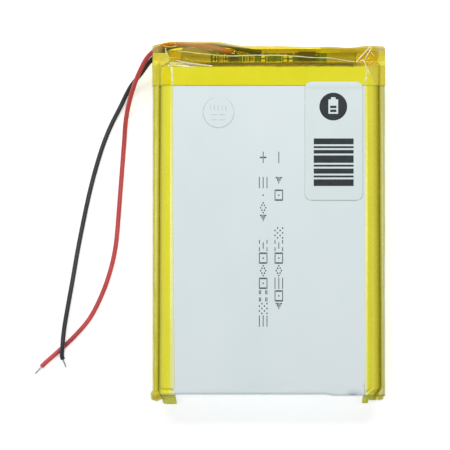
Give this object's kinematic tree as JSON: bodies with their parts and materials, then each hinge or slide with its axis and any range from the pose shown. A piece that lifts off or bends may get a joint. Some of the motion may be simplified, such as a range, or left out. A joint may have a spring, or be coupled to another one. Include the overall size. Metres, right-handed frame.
{
  "type": "pouch battery cell",
  "caption": "Flat lithium pouch cell with a wound roll in a laminate pouch, a protection board under amber tape at the head and two loose wire leads.",
  "frame": {"origin": "centre of the flat back face of the pouch, on the surface that the cell lies on", "axes": "+X across the width, +Y along the length to the head with the protection board and the leads, +Z through the thickness to the front face"},
  "size_m": [0.0908, 0.0935, 0.0121],
  "materials": {
    "laminate": "silver-grey pouch laminate, matt and faintly mottled",
    "cathode_foil": "black cathode coating on foil",
    "anode_foil": "dark grey graphite coating on copper foil",
    "separator_film": "thin white porous film",
    "roll_tape": "green insulating tape",
    "aluminium_tab": "plain strip",
    "nickel": "nickel strip with weld marks",
    "seal_film": "heat-sealed film",
    "foam": "fine foam tape",
    "green_board": "green solder mask",
    "gold_pad": "gold-plated pads",
    "black_mould": "moulded chip body",
    "chip_dark": "glazed chip resistor",
    "chip_tan": "ceramic chip capacitor",
    "solder": "shiny solder",
    "yellow_film": "thin bright yellow film",
    "amber_tape": "transparent amber tape, glossy and wrinkled",
    "yellow_tape": "glossy yellow tape",
    "label_paper": "smooth coated paper",
    "red_insulation": "soft satin wire insulation",
    "black_insulation": "soft satin wire insulation",
    "tinned_strands": "tinned copper strands",
    "print_ink": "thin dark ink, matt"
  },
  "bodies": {
    "root": {"pouch_front_shell": "laminate", "pouch_back_shell": "laminate", "cathode_strip": "cathode_foil", "anode_strip": "anode_foil", "separator_inner": "separator_film", "separator_outer": "separator_film", "roll_end_tape": "roll_tape", "roll_foot_tape": "roll_tape", "cathode_tab": "aluminium_tab", "anode_tab": "nickel", "cathode_tab_film": "seal_film", "anode_tab_film": "seal_film", "board_foam_strip": "foam", "protection_board": "green_board", "board_pads": "gold_pad", "nickel_plate_positive": "nickel", "nickel_plate_negative": "nickel", "protection_ic": "black_mould", "dual_mosfet": "black_mould", "chip_resistors": "chip_dark", "chip_capacitors": "chip_tan", "solder_joints": "solder", "tab_insulation_positive": "yellow_film", "tab_insulation_negative": "yellow_film", "head_tape": "amber_tape", "side_tape_left": "yellow_tape", "side_tape_right": "yellow_tape", "label": "label_paper", "red_lead": "red_insulation", "red_lead_tip": "tinned_strands", "black_lead": "black_insulation", "black_lead_tip": "tinned_strands"}
  },
  "joints": []
}
